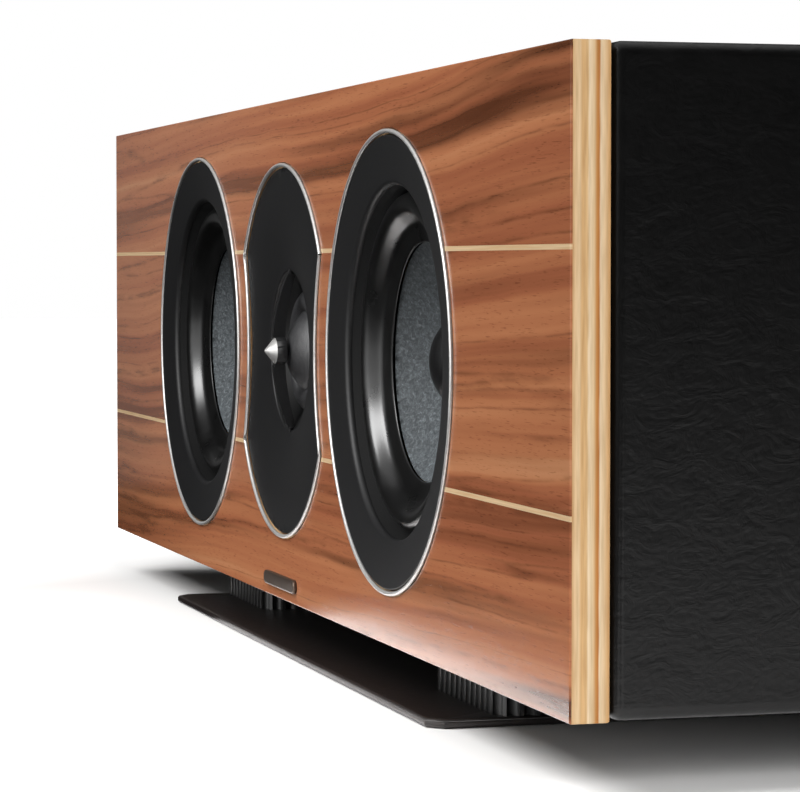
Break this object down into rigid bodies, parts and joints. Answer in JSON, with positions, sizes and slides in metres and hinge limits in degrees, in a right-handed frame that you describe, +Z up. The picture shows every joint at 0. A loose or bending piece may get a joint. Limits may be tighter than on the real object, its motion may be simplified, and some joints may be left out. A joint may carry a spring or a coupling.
{
  "type": "centre channel loudspeaker",
  "caption": "Long leather-wrapped loudspeaker on a low stand, with a walnut-veneered plywood front, maple lines, cone woofers and a bridged dome tweeter between them",
  "frame": {"origin": "middle of the stand plate's underside, on the floor", "axes": "+X to the listener's right along the cabinet, -Y out of the front, +Z up"},
  "size_m": [0.65, 0.2708, 0.2025],
  "materials": {
    "mdf": "raw medium-density fibreboard",
    "painted_board": "black painted fibreboard",
    "leather": "black coarse-grained leather",
    "plywood": "clear-lacquered birch plywood",
    "walnut": "satin-lacquered walnut veneer",
    "maple": "satin-lacquered maple line",
    "bright_trim": "polished",
    "black_plastic": "matt moulded",
    "cast_frame": "black powder coat",
    "rubber": "satin",
    "paper": "grey fibrous pulp",
    "cap": "coated black",
    "copper": "enamelled wire",
    "spider_cloth": "impregnated cloth",
    "silk": "coated silk",
    "steel": "zinc plated",
    "ferrite": "sintered",
    "stand_steel": "dark brown satin",
    "pillar": "black, fluted",
    "dark_metal": "dark satin",
    "gold": "gilt",
    "red_plastic": "clear red",
    "post_black": "black",
    "board": "laminate",
    "film": "wrapped film"
  },
  "bodies": {
    "cabinet": {"cabinet_bottom": "mdf", "cabinet_left_end": "mdf", "cabinet_right_end": "mdf", "cabinet_top": "mdf", "crossover_board": "board", "crossover_capacitors": "film", "crossover_coils": "copper", "front_bar": "dark_metal", "front_panel": "plywood", "inner_baffle": "mdf", "leather_wrap": "leather", "maple_lines": "maple", "pan_screws": "steel", "port_tube": "black_plastic", "post_black_stud": "gold", "post_nuts": "steel", "post_red_stud": "gold", "rear_panel": "painted_board", "stand_pillar_left": "pillar", "stand_pillar_right": "pillar", "stand_plate": "stand_steel", "stand_screws": "steel", "terminal_plate": "black_plastic", "tweeter_bridge": "black_plastic", "tweeter_dome": "silk", "tweeter_magnet": "ferrite", "tweeter_plate": "black_plastic", "tweeter_tip": "bright_trim", "tweeter_top_plate": "steel", "tweeter_trim": "bright_trim", "tweeter_yoke": "steel", "walnut_veneer": "walnut", "woofer_left_dress_ring": "black_plastic", "woofer_left_frame": "cast_frame", "woofer_left_magnet": "ferrite", "woofer_left_spider": "spider_cloth", "woofer_left_surround": "rubber", "woofer_left_top_plate": "steel", "woofer_left_trim_ring": "bright_trim", "woofer_left_yoke": "steel", "woofer_right_dress_ring": "black_plastic", "woofer_right_frame": "cast_frame", "woofer_right_magnet": "ferrite", "woofer_right_spider": "spider_cloth", "woofer_right_surround": "rubber", "woofer_right_top_plate": "steel", "woofer_right_trim_ring": "bright_trim", "woofer_right_yoke": "steel", "woofer_screws": "steel"},
    "woofer_left_diaphragm": {"woofer_left_cone": "paper", "woofer_left_dust_cap": "cap", "woofer_left_voice_coil": "copper"},
    "woofer_right_diaphragm": {"woofer_right_cone": "paper", "woofer_right_dust_cap": "cap", "woofer_right_voice_coil": "copper"},
    "tweeter_coil": {"tweeter_voice_coil": "copper"},
    "post_red_slider": {"post_red_washer": "gold"},
    "post_red_grip": {"post_red_knob": "red_plastic"},
    "post_black_slider": {"post_black_washer": "gold"},
    "post_black_grip": {"post_black_knob": "post_black"}
  },
  "joints": [
    {"name": "woofer_left_travel", "type": "slide", "parent": "cabinet", "child": "woofer_left_diaphragm", "axis": [0, -1, 0], "range_m": [-0.004, 0.004], "stiffness_N_per_m": 900, "deforming": ["woofer_left_surround", "woofer_left_spider"]},
    {"name": "woofer_right_travel", "type": "slide", "parent": "cabinet", "child": "woofer_right_diaphragm", "axis": [0, -1, 0], "range_m": [-0.004, 0.004], "stiffness_N_per_m": 900, "deforming": ["woofer_right_surround", "woofer_right_spider"]},
    {"name": "tweeter_travel", "type": "slide", "parent": "cabinet", "child": "tweeter_coil", "axis": [0, -1, 0], "range_m": [-0.0003, 0.0003], "stiffness_N_per_m": 400, "deforming": ["tweeter_dome"]},
    {"name": "post_red_lift", "type": "slide", "parent": "cabinet", "child": "post_red_slider", "axis": [0, 1, 0], "range_m": [0, 0.003]},
    {"name": "post_red_turn", "type": "hinge", "parent": "post_red_slider", "child": "post_red_grip", "pos_m": [-0.019, 0.1794, 0.1115], "axis": [0, 1, 0], "range_deg": [0, 1080]},
    {"name": "post_black_lift", "type": "slide", "parent": "cabinet", "child": "post_black_slider", "axis": [0, 1, 0], "range_m": [0, 0.003]},
    {"name": "post_black_turn", "type": "hinge", "parent": "post_black_slider", "child": "post_black_grip", "pos_m": [0.019, 0.1794, 0.1115], "axis": [0, 1, 0], "range_deg": [0, 1080]}
  ],
  "couplings": [
    {"joint": "post_red_lift", "follows": "post_red_turn", "m_per_rad": 0.00015915},
    {"joint": "post_black_lift", "follows": "post_black_turn", "m_per_rad": 0.00015915}
  ]
}
